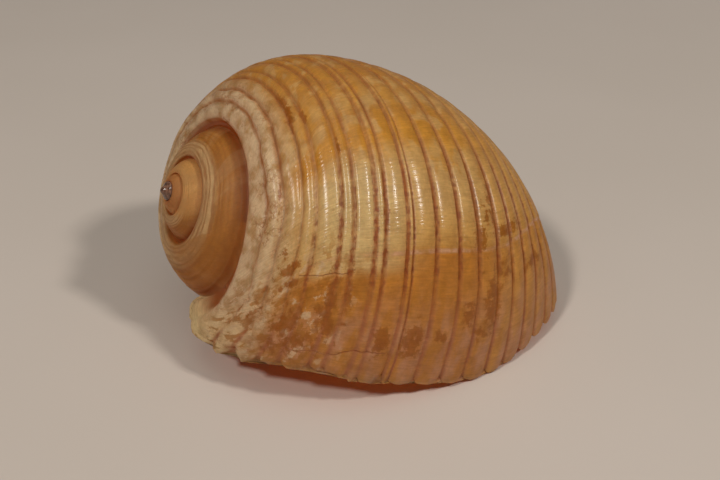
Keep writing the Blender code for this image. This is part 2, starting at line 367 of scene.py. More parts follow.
def relief(along, turn, base):
    """How far the outer face is sunk at a point, how deep in a groove it is, and the groove's tint."""
    grown = turn - lip_edge(along) / 360
    shown = rib_depth(turn)
    trench, fallen, tint = groove_nearness(along + wander(along, turn))
    flat = 1 - LIP_FLATTENS * ramp(grown, -0.10, -0.04)
    sunk = shown * (GROOVE_DEPTH * trench + RIB_ARCH * fallen) * flat - RIB_LIFT
    sunk = sunk + REST_STEP * ramp(grown, *REST_MARK) * (1 - ramp(grown, *REST_FADES))
    sunk = np.maximum(sunk + worn_lumps(along, turn, base), -RIB_CROWN)
    upper = 1 - ramp(along, 26.0, 44.0)
    faded = 1 - 0.65 * upper * ramp(grown, -0.21, -0.17) * (1 - ramp(grown, -0.07, -0.03))
    return sunk, trench * shown, tint * faded * shown


# Brown horny skin left in patches: along the profile, turns from the lip, half widths of both, strength
BLOTCHES = (
    (61.0, -0.035, 2.4, 0.012, 1.0),
    (72.0, -0.034, 3.2, 0.012, 1.0),
    (82.0, -0.037, 2.0, 0.005, 0.9),
    (35.0, -0.028, 9.0, 0.014, 0.62),
    (30.0, -0.050, 4.0, 0.016, 0.8),
    (41.5, -0.055, 3.0, 0.030, 0.8),
    (47.0, -0.065, 1.4, 0.024, 0.6),
    (92.0, -0.052, 3.6, 0.009, 0.8),
    (98.5, -0.038, 2.6, 0.006, 0.7),
    (103.0, -0.060, 4.5, 0.022, 0.75),
    (112.0, -0.108, 9.0, 0.005, 0.9),
    (96.5, -0.105, 3.5, 0.012, 0.8),
    (104.5, -0.128, 2.6, 0.020, 0.8),
    (96.0, -0.132, 1.4, 0.016, 0.9),
    (87.2, -0.150, 0.8, 0.030, 0.7),
    (128.0, -0.072, 10.0, 0.006, 0.7),
    (27.0, -0.105, 4.0, 0.006, 0.9),
    (28.0, -0.088, 3.0, 0.005, 0.8),
    (23.5, -0.125, 1.3, 0.012, 0.7),
    (14.5, -0.080, 1.2, 0.014, 0.6),
    (18.5, -0.068, 1.5, 0.006, 0.8),
    (29.0, -0.265, 1.6, 0.022, 0.9),
    (33.5, -0.240, 1.0, 0.014, 0.9),
    (43.0, -0.185, 0.6, 0.014, 0.8),
    (58.0, -0.128, 0.7, 0.010, 0.9),
    (105.9, -0.146, 0.9, 0.026, 0.95),
    (96.2, -0.152, 0.9, 0.024, 0.9),
    (100.5, -0.124, 2.0, 0.010, 0.75),
    (107.0, -0.080, 8.0, 0.011, 0.55),
    (20.3, -0.190, 0.6, 0.022, 0.8),
)


def blotch_field(along, grown):
    """1 in the middle of a brown patch, falling to 0 outside it."""
    total = np.zeros_like(along)
    for middle, turns, half_width, half_turns, strength in BLOTCHES:
        apart = ((along - middle) / half_width) ** 2 + ((grown - turns) / half_turns) ** 2
        total = np.maximum(total, strength * np.exp(-0.7 * apart))
    return total


class Skin:
    """Points, and faces whose corners also know their place on the shell."""

    def __init__(self):
        self.points = []
        self.fields = {"groove": [], "blotch": []}
        self.corner_point = []
        self.corner_place = []
        self.faces = []
        self.slots = []

    def share(self, corner, along, grown):
        """A corner on the same point, with a place on another whorl."""
        self.corner_point.append(self.corner_point[corner])
        self.corner_place.append((along, grown))
        return len(self.corner_point) - 1

    def add(self, points, along, grown, groove=0.0, blotch=0.0):
        """New points with a corner on each, in the shape of the points given."""
        points = np.asarray(points, float)
        shape = points.shape[:-1]
        count = int(np.prod(shape))
        first = len(self.corner_point)
        start = len(self.points)
        self.points.extend(points.reshape(-1, 3))
        self.fields["groove"].extend(np.broadcast_to(groove, shape).reshape(-1))
        self.fields["blotch"].extend(np.broadcast_to(blotch, shape).reshape(-1))
        self.corner_point.extend(range(start, start + count))
        places = np.stack([np.broadcast_to(along, shape), np.broadcast_to(grown, shape)], axis=-1)
        self.corner_place.extend(places.reshape(-1, 2))
        return np.arange(first, first + count).reshape(shape)

    def face(self, corners, slot):
        """A face without the corners that share a point with the one before."""
        points = [self.corner_point[c] for c in corners]
        before = points[-1:] + points[:-1]
        kept = [c for c, here, last in zip(corners, points, before) if here != last]
        if len(kept) > 2:
            self.faces.append(kept)
            self.slots.append(slot)

    def quads(self, grid, slot):
        corners = np.stack([grid[:-1, :-1], grid[:-1, 1:], grid[1:, 1:], grid[1:, :-1]], axis=-1)
        for four in corners.reshape(-1, 4).tolist():
            self.face(four, slot)

    def reach(self, line):
        """How far along the line each corner is, from 0 to 1."""
        points = np.array([self.points[self.corner_point[c]] for c in line])
        along = np.concatenate([[0], np.cumsum(np.linalg.norm(np.diff(points, axis=0), axis=1))])
        return along / along[-1]

    def stitch(self, first, second, slot):
        """Triangles between two lines of corners with unlike counts."""
        first, second = [int(c) for c in first], [int(c) for c in second]
        a, b = self.reach(first), self.reach(second)
        i = j = 0
        while i < len(first) - 1 or j < len(second) - 1:
            if j == len(second) - 1 or (i < len(first) - 1 and a[i + 1] <= b[j + 1]):
                self.face([first[i], first[i + 1], second[j]], slot)
                i += 1
            else:
                self.face([first[i], second[j + 1], second[j]], slot)
                j += 1


OUTER, INNER, BEAD = range(3)


def row_places(start, end, offsets, widest):
    """Places along the profile: several beside each groove, and enough between them."""
    wanted = {start, end}
    for here, half in zip(GROOVE_AT, GROOVE_HALF):
        wanted |= {here + offset * half for offset in offsets}
    places = sorted(p for p in wanted if start <= p <= end)
    closest = 0.3 * min(GROOVE_HALF)
    kept = [places[0]]
    for here in places[1:]:
        if here - kept[-1] < closest:
            continue
        pieces = max(1, math.ceil((here - kept[-1]) / widest))
        begin = kept[-1]
        kept += [begin + (here - begin) * (i + 1) / pieces for i in range(pieces)]
    kept[-1] = end
    return np.array(kept)


def turn_steps():
    """Where the columns of one turn stand, in turns from the lip: closer at the front."""
    back = -1 + (1 - FRONT_SHARE) * np.arange(1, BACK_STEPS + 1) / BACK_STEPS
    front = -FRONT_SHARE * (1 - np.arange(1, FRONT_STEPS + 1) / FRONT_STEPS)
    return np.concatenate([back, front[:-1], [-RIM_STEP, 0.0]])


def slanted(step, along):
    """The turn of a point in a column: columns of the last whorl lean until they lie along the lip."""
    lean = ramp(step, *LIP_LEAN)
    return SUTURE_END / 360 + step - lean * (SUTURE_END - lip_edge(along)) / 360


def lip_cut(step, along, groove):
    """How many turns the lip's edge lies back at a groove's end, so that the edge is scalloped."""
    radius = np.maximum(section(along)[0], 20.0)
    near = ramp(step, -LIP_NOTCH_REACH, 0.0)
    scallop = LIP_SCALLOP * (0.6 + 0.4 * ramp(along, 70.0, 100.0)) * groove_nearness(along)[1]
    scallop = scallop + LIP_NOTCH * groove
    spot = np.stack([along, 0 * along, 0 * along], axis=-1)
    chips = sum(depth * np.maximum(lattice_noise(spot, length, seed), 0) for length, depth, seed in LIP_CHIPS)
    chips = chips * (1 - 0.8 * ramp(along, 60.0, 85.0))
    return near * (scallop + chips) / (TURN * radius)


def outer_grid(skin, steps, along):
    """Points of the outer face for some columns, with the rows at these places along the profile."""
    step, row = np.meshgrid(steps, along, indexing="ij")
    turn = slanted(step, row)
    base = place(turn, *section(row))
    sunk, groove, tint = relief(row, turn, base)
    turn = turn - lip_cut(step, row, groove)
    grown = turn - lip_edge(row) / 360
    rounded = LIP_ROUNDING * ramp(step, -LIP_ROUNDING_REACH, 0.0)
    points = place(turn, *section(row, sunk + rounded))
    return skin.add(points, row, grown, tint, blotch_field(row, grown))


def joint_point(turn):
    """Where a whorl joins the one before."""
    along = np.full_like(turn, ATTACH)
    sunk = -RIB_CROWN * rib_depth(turn - 1)
    return place(turn - 1, *section(along, sunk))


def channel_grid(skin, steps):
    """The channel between the joint and the shoulder's crest, without its first and last rows."""
    turn = SUTURE_END / 360 + steps
    lean = slanted(steps, np.full_like(steps, CREST))
    crest = place(lean, *section(np.full_like(steps, CREST)))
    joint = joint_point(turn)
    filled = ramp(steps, *CHANNEL_FILLS)
    depth = CHANNEL_DEPTH * growth(turn) * (1 - filled)
    share = np.array(CHANNEL_ROWS)
    top = crest[:, 0]
    heights = [joint[:, 0], top + CHANNEL_FLOOR[0] * depth, top + CHANNEL_FLOOR[1] * depth, top]
    axial = 0
    for i, height in enumerate(heights):
        others = [k for j, k in enumerate(CHANNEL_KNOTS) if j != i]
        weight = np.prod([(share - k) / (CHANNEL_KNOTS[i] - k) for k in others], axis=0)
        axial = axial + height[:, None] * weight
    points = joint[:, None] + share[:, None] * (crest - joint)[:, None]
    points[..., 0] = axial
    grown = turn - lip_edge(0.0) / 360
    return skin.add(points, CREST * share, grown[:, None])


def join_up(joints, channel, rows):
    """The whole width of a whorl, from its joint to its last row."""
    return np.concatenate([np.array(joints)[:, None], channel, rows], axis=1)


def outer_skin(skin):
    """The outside of every whorl: the spire's columns, the last whorl's, and the joint's place in those."""
    turn = turn_steps()
    per_turn = len(turn)
    full_along = row_places(CREST, PROFILE_LENGTH, OUTER_OFFSETS, OUTER_GAP)
    attach_row = int(np.argmin(np.abs(full_along - ATTACH)))
    full_along[attach_row] = ATTACH
    joint = attach_row + len(CHANNEL_ROWS) + 1
    spire_along = row_places(CREST, ATTACH, COARSE_OFFSETS, COARSE_GAP)
    whorls = math.ceil(WHORLS) - 1
    spire_steps = np.concatenate([turn - back for back in range(whorls, 0, -1)])
    spire_steps = spire_steps[spire_steps >= -WHORLS][:-1]
    last_steps = np.concatenate([[-1.0], turn])
    spire_rows = outer_grid(skin, spire_steps, spire_along)
    last_rows = outer_grid(skin, last_steps, full_along)
    spire_channel = channel_grid(skin, spire_steps)
    last_channel = channel_grid(skin, last_steps)
    steps = np.concatenate([spire_steps, last_steps])
    joints = list(skin.add(joint_point(SUTURE_END / 360 + steps[:per_turn]), 0.0, steps[:per_turn]))
    older = list(spire_rows[:, -1]) + list(last_rows[:, attach_row])
    for i in range(per_turn, len(steps)):
        joints.append(skin.share(int(older[i - per_turn]), 0.0, steps[i]))
    split = len(spire_steps)
    spire = join_up(joints[:split], spire_channel, spire_rows)
    last = join_up(joints[split:], last_channel, last_rows)
    skin.quads(spire, OUTER)
    skin.quads(last, OUTER)
    skin.stitch(spire[-1], last[0][: joint + 1], OUTER)
    return spire, last, joint, per_turn


def close_tip(skin, spire, per_turn):
    """The first chamber: a small rounded bead over the start of the spiral."""
    ring = list(spire[: per_turn + 1, 0]) + list(spire[0][-2:0:-1])
    points = np.array([skin.points[skin.corner_point[c]] for c in ring])
    centre = points.mean(axis=0)
    lowest = points[:, 0].min()
    top = lowest - BEAD_TOP
    loops = [[skin.share(int(c), 0.0, -WHORLS) for c in ring]]
    for share in BEAD_LOOPS:
        side = min(share, 1.0)
        cap = math.pi / 2 * max(0.0, share - 1) / BEAD_CAP
        width = 1 + (BEAD_WIDTH - 1) * side + BEAD_BULGE * math.sin(math.pi * side)
        loop = centre + width * math.cos(cap) * (points - centre)
        level = points[:, 0] + (((points[:, 0] + lowest) / 2 - BEAD_SHOULDER) - points[:, 0]) * side
        loop[:, 0] = level + (top - level) * math.sin(cap) ** 2
        loops.append(list(skin.add(loop, 0.0, -WHORLS)))
    tip = int(skin.add(np.array([[top, centre[1], centre[2]]]), 0.0, -WHORLS)[0])
    closed = np.array([loop + loop[:1] for loop in loops])
    skin.quads(closed, BEAD)
    for a, b in zip(closed[-1], closed[-1][1:]):
        skin.face([int(a), int(b), tip], BEAD)


def inner_rows(step, along):
    """The hollow's side of the outer wall, ribbed near the lip as the outside is."""
    turn = slanted(step, along)
    thickness = WALL * growth(turn) ** (WALL_POWER - 1)
    thin = ramp(step, -LIP_THICKENS, 0.0)
    thickness = thickness + (LIP_WALL - thickness) * thin
    trench, fallen, _ = groove_nearness(along + wander(along, turn))
    shown = (0.4 + 0.6 * thin) * rib_depth(turn) * ramp(step, -0.9, -0.3)
    cut = lip_cut(step, along, trench * rib_depth(turn))
    sunk = thickness + shown * (GROOVE_DEPTH * trench + RIB_ARCH * fallen)
    return place(turn - cut, *section(along, sunk))


def between(start, end, count):
    """Points between two, ends left out."""
    share = np.arange(1, count)[:, None] / count
    return start + share * (end - start)


def pillar_line(start, end, count, waist):
    """A line on the pillar between two points, drawn in towards the axis, or out where waist is negative."""
    start_angle = math.atan2(start[1], -start[2])
    turned = math.atan2(end[1], -end[2]) - start_angle
    turned = (turned + math.pi) % TURN - math.pi
    share = np.arange(1, count) / count
    radius = (1 - share) * math.hypot(*start[1:]) + share * math.hypot(*end[1:])
    radius = radius - waist * np.sin(math.pi * share)
    angle = start_angle + share * turned
    axial = (1 - share) * start[0] + share * end[0]
    return np.stack([axial, radius * np.sin(angle), -radius * np.cos(angle)], axis=-1)


def hollow_steps():
    """Where the loops of the hollow stand, close together at the lip and wide apart deep inside."""
    steps = [-FIRST_LOOP]
    while steps[-1] > -HOLLOW_TURNS:
        steps.append(steps[-1] - min(WIDEST_LOOP, FIRST_LOOP + LOOPS_WIDEN * -steps[-1]))
    return steps


def mouth_edge(skin, last, joint, along):
    """The lip's edge and the pillar's outer face. Gives back the four sides of the mouth."""
    lip, start = last[-1], last[0]
    rim = skin.add(inner_rows(0.0, along), along, 0.0, groove_nearness(along)[0])
    skin.stitch(lip, rim, OUTER)
    ends = [skin.points[skin.corner_point[line[-1]]] for line in (lip, start)]
    edge = pillar_line(ends[0], ends[1], 2 * PILLAR_ROWS, -PILLAR_EDGE_BULGE)
    edge = [int(lip[-1])] + list(skin.add(edge, INNER_END, 0.0)) + [int(start[-1])]
    skin.stitch(last[:, -1][::-1], edge, INNER)
    return [list(rim), [int(rim[-1])] + edge, list(start[joint:][::-1]), [int(start[joint]), int(rim[0])]]


def hollow_loop(step, along):
    """The four parts of one loop round the hollow, and the place along the profile of each of its points."""
    eased = ramp(-step, 0.0, HOLLOW_EASE)
    wall = inner_rows(step, along)
    from_along = PROFILE_LENGTH + (PARIETAL_FROM - PROFILE_LENGTH) * eased
    to_along = ATTACH + (PARIETAL_TO - ATTACH) * eased
    older_along = np.linspace(from_along, to_along, PARIETAL_ROWS)
    turn = SUTURE_END / 360 + step
    older = place(np.full_like(older_along, turn - 1), *section(older_along))
    waist = -PILLAR_EDGE_BULGE + (PILLAR_WAIST * growth(turn) + PILLAR_EDGE_BULGE) * eased
    pillar = pillar_line(wall[-1], older[0], PILLAR_ROWS, waist)
    corner = between(older[-1], wall[0], CORNER_ROWS)
    on_pillar = np.full(len(pillar), INNER_END)
    in_corner = np.full(len(corner), INNER_START)
    return (wall, pillar, older, corner), np.concatenate([along, on_pillar, older_along, in_corner])


def hollow(skin, last, joint):
    """The hollow behind the lip, loop by loop, and its end deep inside."""
    along = row_places(INNER_START, INNER_END, COARSE_OFFSETS, COARSE_GAP)
    sides = mouth_edge(skin, last, joint, along)
    wall_groove = groove_nearness(along)[0]
    before = None
    for step in hollow_steps():
        parts, places = hollow_loop(step, along)
        groove = np.concatenate([wall_groove, np.zeros(len(places) - len(along))])
        corners = skin.add(np.concatenate(parts), places, step, groove)
        if before is None:
            a, b, c = np.cumsum([len(part) for part in parts[:3]])
            new = [corners[:a], corners[a - 1 : b + 1], corners[b:c], [*corners[c - 1 :], corners[0]]]
            for side, part in zip(sides, new):
                skin.stitch(side, part, INNER)
        else:
            skin.quads(np.stack([np.append(before, before[0]), np.append(corners, corners[0])]), INNER)
        before = corners
    middle = np.mean([skin.points[skin.corner_point[c]] for c in before], axis=0)
    middle = int(skin.add(middle[None], INNER_END, -HOLLOW_TURNS)[0])
    for a, b in zip(before, np.roll(before, -1)):
        skin.face([int(a), int(b), middle], INNER)


def lay_down(points):
    """The points turned to the resting pose and set in the row frame, in metres."""
    roll, pitch = math.radians(REST_ROLL), math.radians(REST_PITCH)
    turn = Matrix.Rotation(pitch, 3, "Y") @ Matrix.Rotation(-roll, 3, "X")
    return (np.array(points) @ np.array(turn).T - REST_ORIGIN + (0.0, 0.0, REST_LIFT)) * FIT * MM


def hex_colour(text):
    """An sRGB colour written as hex, as linear RGBA."""
    values = [int(text[i : i + 2], 16) / 255 for i in (1, 3, 5)]
    linear = [v / 12.92 if v <= 0.04045 else ((v + 0.055) / 1.055) ** 2.4 for v in values]
    return (*linear, 1.0)


# Colours of the outside
PALE = hex_colour("#ccaa68")
CREAM = hex_colour("#cba45c")
CHALK = hex_colour("#d5c196")
DRAB = hex_colour("#a68f58")
HONEY = hex_colour("#c8943a")
OCHRE = hex_colour("#b98b42")
TAN = hex_colour("#c2964c")
RUST = hex_colour("#b87f2f")
BROWN = hex_colour("#b27d36")
MAUVE = hex_colour("#b88d68")
MILKY = hex_colour("#d6c184")
UMBER = hex_colour("#86540e")
OLIVE = hex_colour("#96691e")
# The pause in growth: a pale line, partly a painted highlight on the step's edge
PAUSE_LINE_AND_GLINT = hex_colour("#c8a078")
CREASE = hex_colour("#8a5a26")
STRAW = hex_colour("#e6cc92")
# The lip's thin edge, lighter and warmer than the wall: partly its own pale edge, partly painted glow of
# light through it
RIM = hex_colour("#d6a566")
SPECK = hex_colour("#743c14")

# Colours of the grooves and the spire
GROOVE_OCHRE = hex_colour("#9a6b34")
GROOVE_RED = hex_colour("#8c5314")
GROOVE_BROWN = hex_colour("#935b20")
GROOVE_MAUVE = hex_colour("#9d6b48")
# Brown of the suture's channel: partly the shell's colour, partly painted shade of the recess
CHANNEL_BROWN_AND_SHADE = hex_colour("#83501c")
SPIRE_BAND = hex_colour("#bfa36e")
SPIRE_OCHRE = hex_colour("#9a6c24")
SPIRE_RUST = hex_colour("#a06e24")
# Dark brown at the channel's walls, partly painted shade of the recess, and between the spire's threads
SPIRE_EDGE = hex_colour("#72460c")
YOUNG_WHORL = hex_colour("#c89a56")
CONE = hex_colour("#ae7a40")

# Colours of the bead and the table
BEAD_DARK = hex_colour("#4c3226")
BEAD_LIGHT = hex_colour("#7a5846")
TABLE_DARK = hex_colour("#c2b8ae")
TABLE_LIGHT = hex_colour("#c8beb5")

# Light crosses the wall twice, on the way in and out, so the orange that it takes on is pale here
GLOW = hex_colour("#ffb850")
OUTER_LIGHT_THROUGH = 0.34
INNER_LIGHT_THROUGH = 0.85

# Roughness
POLISHED = 0.215
WORN_DULL = 0.60
GLAZED = 0.28
VARNISHED = 0.16
TABLE_PAINT = 0.55

# Colours along a field: turns from the lip, millimetres along the profile, or the noise's value
BANDS = (
    (-0.300, OCHRE),
    (-0.262, OCHRE),
    (-0.240, TAN),
    (-0.226, CREAM),
    (-0.214, OCHRE),
    (-0.197, HONEY),
    (-0.184, HONEY),
    (-0.172, CREAM),
    (-0.158, PALE),
    (-0.130, PALE),
    (-0.114, CREAM),
    (-0.101, TAN),
    (-0.096, RUST),
    (-0.066, RUST),
    (-0.044, BROWN),
    (-0.003, BROWN),
    # The lip's edge: partly its own colour, partly painted glow
    (0.000, RIM),
)
GROOVE_BANDS = (
    (-0.260, GROOVE_OCHRE),
    (-0.180, GROOVE_OCHRE),
    (-0.145, GROOVE_RED),
    (-0.100, GROOVE_RED),
    (-0.070, GROOVE_BROWN),
    (-0.035, GROOVE_MAUVE),
)
# The dark ends at 3.06 and 47.43 lie on the walls of a suture's channel: partly the shell's colour, partly
# painted shade
SPIRE_BANDS = (
    (3.06, SPIRE_EDGE),
    (6.12, SPIRE_BAND),
    (18.36, SPIRE_BAND),
    (24.48, SPIRE_OCHRE),
    (38.76, SPIRE_RUST),
    (47.43, SPIRE_EDGE),
)
OLDER_BANDS = ((0.38, OCHRE), (0.48, HONEY), (0.58, CREAM), (0.66, OCHRE))
HOLLOW_BANDS = ((-0.60, RUST), (-0.27, HONEY), (-0.042, CREAM), (0.0, PALE))

# Noise that follows the growth: its lumps' size along the profile and around the shell, in millimetres at
# the lip, then its detail and roughness
STREAKS = {
    "lines": (16.67, 1.1444, 1.0, 0.55),
    "fine_lines": (7.14, 0.3204, 1.0, 0.55),
    "fibre": (6.25, 0.751, 4.0, 0.75),
    "ribwise": (6.67, 53.4, 2.0, 0.55),
    "older": (200.0, 30.04, 3.0, 0.60),
    "patch": (7.69, 10.45, 2.0, 0.45),
    "veil": (5.56, 14.14, 4.0, 0.55),
    "drab": (9.09, 9.24, 4.0, 0.65),
    "flakes": (4.17, 6.87, 5.0, 0.65),
    "come_and_go": (3.33, 9.61, 3.0, 0.55),
    "specks": (1.667, 3.004, 3.0, 0.55),
}

# Noise alike in all directions: its lumps' size in millimetres, detail and roughness
LUMPS = {
    "cloud": (16.67, 3.0, 0.55),
    "mottle": (4.545, 4.0, 0.55),
    "grain": (0.909, 3.0, 0.55),
    "ridge": (5.263, 3.0, 0.60),
    "rag": (2.381, 5.0, 0.70),
}

# A zone is a field's name, where the zone starts and where it is full, and its shares there if not 0 and 1
BEHIND_PAUSE = ("grown", -0.12, -0.17)
SHOULDER = ("along", 32.0, 14.0)
LAST_WHORL = ("grown", -1.05, -0.85)
SPIRE = ("grown", -0.76, -0.92)
CORNER = (("along", 26.0, 10.0), ("grown", -0.11, -0.03))
FLAKED = (("along", 58.0, 36.0), ("grown", -0.15, -0.075), ("along", 3.0, 10.0))
THREADED = (("along", 48.0, 14.0), ("mottle", 0.35, 0.6, 0.3, 1.0))
CREASED = (("ridge_line", 0.022, 0.006), SHOULDER, LAST_WHORL, ("cloud", 0.42, 0.58))

# A layer is a colour, and the zones where it is laid. A plain number is a share of it.
SPIRE_LAYERS = (
    (SPIRE_BAND, ("older", 0.50, 0.62), 0.22),
    (SPIRE_EDGE, ("threads", 0.1, -0.8), "threaded", 0.6),
    # Another pause in growth, a turn before
    (SPIRE_RUST, ("shifted", -1.092, -1.086), ("grown", -0.9, -0.98), 0.55),
    # The young whorls and the cone
    (YOUNG_WHORL, ("grown", -2.0, -2.1), 0.85),
    (CONE, ("grown", -2.85, -3.0)),
)
LAYERS = (
    # Bands made up in the manner of the others, on the back of the whorl
    ("older_bands", ("grown", -0.34, -0.27, 1.0, 0.0)),
    # Orange and cream patches on the ribs, behind the last pause in growth
    (HONEY, ("patch", 0.53, 0.60), BEHIND_PAUSE, 0.6),
    (PALE, ("patch", 0.46, 0.38), BEHIND_PAUSE, 0.7),
    # Towards the siphon's end the bands fade: tan in front, and pale further back. The pale near the outline
    # is painted sheen.
    (TAN, ("along", 90.0, 116.0), 0.6),
    (PALE, ("along", 90.0, 116.0), ("grown", -0.16, -0.23), 0.7),
    (PALE, ("along", 118.0, 138.0), ("grown", -0.135, -0.165), 0.6),
    # The upper ribs are milky just behind the pause
    (
        MILKY,
        ("along", 78.0, 48.0),
        ("along", 26.0, 42.0, 0.3, 1.0),
        ("grown", -0.185, -0.150),
        ("grown", -0.078, -0.092),
        0.8,
    ),
    # Towards the lip the colour clouds over into mauve, with drab patches
    (MAUVE, ("grown", -0.085, -0.025), ("veil", 0.42, 0.62), 0.8),
    (OLIVE, ("grown", -0.104, -0.09), ("drab", 0.50, 0.62), 0.42),
    # The shoulder is worn to chalk over drab, and the corner of the lip is straw-coloured
    (DRAB, SHOULDER, LAST_WHORL, 0.7),
    (CHALK, SHOULDER, LAST_WHORL, ("mottle", 0.36, 0.56, 0.35, 1.0)),
    (STRAW, "corner", 0.8),
    # Beside the lip the horny skin has flaked to chalk, and is left in olive-brown patches
    (CHALK, *FLAKED, ("flakes", 0.55, 0.62), 0.7),
    (OLIVE, *FLAKED, ("flakes", 0.48, 0.42), 0.75),
    # A pale line where growth once paused, strongest on the middle ribs: partly the shell's colour, partly a
    # painted highlight on the step
    (
        PAUSE_LINE_AND_GLINT,
        ("from_pause", 0.0024, 0.0006),
        ("mottle", 0.42, 0.56, 0.25, 0.9),
        ("along", 50.0, 62.0, 0.35, 1.0),
        ("along", 26.0, 40.0),
    ),
    (CREASE, "creases", 0.6),
    # Grooves are browner than the ribs, with dark specks behind the lip
    ("groove_bands", ("groove", 0.0, 0.85), ("come_and_go", 0.38, 0.60, 0.55, 1.0)),
    (
        SPECK,
        ("specks", 0.47, 0.60),
        ("grown", -0.19, -0.14),
        ("grown", -0.055, -0.085),
        ("groove", 0.12, 0.45),
        0.75,
    ),
    (SPECK, "cracks", 0.45),
    # Brown horny skin left in ragged patches
    (UMBER, ("ragged", 0.40, 0.66), ("rag", 0.40, 0.62, 0.96, 0.72)),
    # The spire, and the channel of the suture: its brown is partly the shell's colour, partly painted shade
    # of the deep channel
    ("spire_bands", "spire", 0.95),
    (CHANNEL_BROWN_AND_SHADE, ("along", 3.9, 2.2), ("grown", -0.02, -0.07)),
)

# How far each pattern darkens and lightens the colour
SHADES = {"fibre": (0.82, 1.14), "mottle": (0.87, 1.09), "grain": (0.93, 1.06)}

# Where the surface is worn dull, and roughness added: in front of the pause, on the spire and in grooves
DULLED = ((SHOULDER, 0.07), ("groove", 0.9))
ROUGHER = ((("grown", -0.10, -0.09), 0.16), ("spire", 0.32), ("groove", 0.22))

# Heights of the fine relief in millimetres, below 0 where it is sunk
HEIGHTS = {"lines": 0.12, "fine_lines": 0.045, "spire_threads": 0.07, "creases": -0.10, "cracks": -0.25}
GRAIN_HEIGHT = (0.012, 0.24)  # where the surface is polished, and where it is worn dull

SPIRE_THREAD = 4.4  # spacing of the fine spiral threads, measured on the full-size profile
THREAD_SWAY = 9.0
SKIN_RAGS = 0.52

# Cracks across the growth of the lip: along the profile, and turns from the lip
CRACKS = (
    ((33.0, -0.0225), (39.0, -0.0205), (45.0, -0.0200), (50.0, -0.0240), (56.0, -0.0260), (64.0, -0.0255)),
    ((30.0, -0.0950), (37.0, -0.0870), (44.0, -0.0845), (48.0, -0.0870)),
)
CRACK_WIDTH = 0.0006  # turns, a quarter of a millimetre
CRACK_JAGS = 0.0012

# Settings that many nodes share
TIMES = {"operation": "MULTIPLY"}
PLUS = {"operation": "ADD"}
MINUS = {"operation": "SUBTRACT"}
HIGHER = {"operation": "MAXIMUM"}
SIZE = {"operation": "ABSOLUTE"}


def add(tree, kind, links=None, stops=None, out=0, **settings):
    """A node with its settings, its inputs given values or linked. Gives back the output asked for."""
    node = tree.nodes.new("ShaderNode" + kind)
    for name, value in settings.items():
        setattr(node, name, value)
    for key, value in (links or {}).items():
        if isinstance(value, bpy.types.NodeSocket):
            tree.links.new(value, node.inputs[key])
        else:
            node.inputs[key].default_value = value
    if stops:
        elements = node.color_ramp.elements
        while len(elements) < len(stops):
            elements.new(0.5)
        for element, (position, colour) in zip(elements, stops):
            element.position = position
            element.color = colour
    return node.outputs[out]


def new_material(name):
    material = bpy.data.materials.new(name)
    material.use_nodes = True
    tree = material.node_tree
    return material, tree, tree.nodes["Principled BSDF"]


def lumpy(where, per_unit, detail=3.0, roughness=0.55):
    """The inputs of a noise pattern: where it lies, and how many of its lumps go in a unit."""
    return {"Vector": where, "Scale": per_unit, "Detail": detail, "Roughness": roughness}


def per_metre(size):
    """How many lumps of this size, in millimetres, go in a metre."""
    return 1 / (size * MM)


def coloured_along(tree, field, bands):
    """Colours that follow a field, blended from each band's place to the next."""
    start, end = bands[0][0], bands[-1][0]
    share = add(tree, "MapRange", {0: field, 1: start, 2: end})
    stops = [((at - start) / (end - start), colour) for at, colour in bands]
    return add(tree, "ValToRGB", {0: share}, stops=stops)


def overlap(tree, fields, zones):
    """The product of zones, fields given by name and plain shares."""
    total = 1.0
    for part in zones:
        if isinstance(part, tuple):
            ends = dict(enumerate(part[1:], 1))
            part = add(tree, "MapRange", {0: fields[part[0]], **ends}, interpolation_type="SMOOTHSTEP")
        total = add(tree, "Math", {0: total, 1: fields.get(part, part)}, **TIMES)
    return total


def lay(tree, fields, colour, layers):
    """Layers laid over a colour, one after another."""
    for over, *zones in layers:
        links = {0: overlap(tree, fields, zones), 6: colour, 7: fields.get(over, over)}
        colour = add(tree, "Mix", links, data_type="RGBA", out=2)
    return colour


def shade(tree, colour, pattern, reach, darkest, lightest):
    """A colour made darker and lighter by a noise pattern, as far as this reach from the pattern's middle."""
    factor = add(tree, "MapRange", {0: pattern, 1: 0.5 - reach, 2: 0.5 + reach, 3: darkest, 4: lightest})
    links = {0: 1.0, 6: colour, 7: factor}
    return add(tree, "Mix", links, data_type="RGBA", blend_type="MULTIPLY", out=2)


def let_light_through(tree, shader, share):
    """The wall is thin and milky: a share of the light goes through it, orange, and fills the hollow."""
    through = add(tree, "BsdfTranslucent", {"Color": GLOW})
    both = add(tree, "MixShader", {0: share, 1: shader.outputs[0], 2: through})
    tree.links.new(both, tree.nodes["Material Output"].inputs["Surface"])


def crack_field(tree, at):
    """1 on the cracks, hair-thin and broken up."""
    jagged = add(tree, "MapRange", {0: at["mottle"], 1: 0.3, 2: 0.7, 3: -CRACK_JAGS, 4: CRACK_JAGS})
    total = 0.0
    for knots in CRACKS:
        start, end = knots[0][0], knots[-1][0]
        low = min(turns for _, turns in knots)
        span = max(turns for _, turns in knots) - low
        share = add(tree, "MapRange", {0: at["along"], 1: start, 2: end})
        bent = add(tree, "FloatCurve", {"Value": share})
        curve = bent.node.mapping.curves[0]
        while len(curve.points) < len(knots):
            curve.points.new(0.5, 0.5)
        for point, (here, turns) in zip(curve.points, knots):
            point.location = (here - start) / (end - start), (turns - low) / span
        bent.node.mapping.update()
        middle = add(tree, "MapRange", {0: bent, 3: low, 4: low + span})
        middle = add(tree, "Math", {0: middle, 1: jagged}, **PLUS)
        apart = add(tree, "Math", {0: at["grown"], 1: middle}, **MINUS)
        near = {"apart": add(tree, "Math", {0: apart}, **SIZE)}
        near["inside"] = add(tree, "Math", {0: share, 1: 0.5, 2: 0.49}, operation="COMPARE")
        line = overlap(tree, near, (("apart", CRACK_WIDTH, 0.3 * CRACK_WIDTH), "inside"))
        total = add(tree, "Math", {0: line, 1: total}, **HIGHER)
    return total


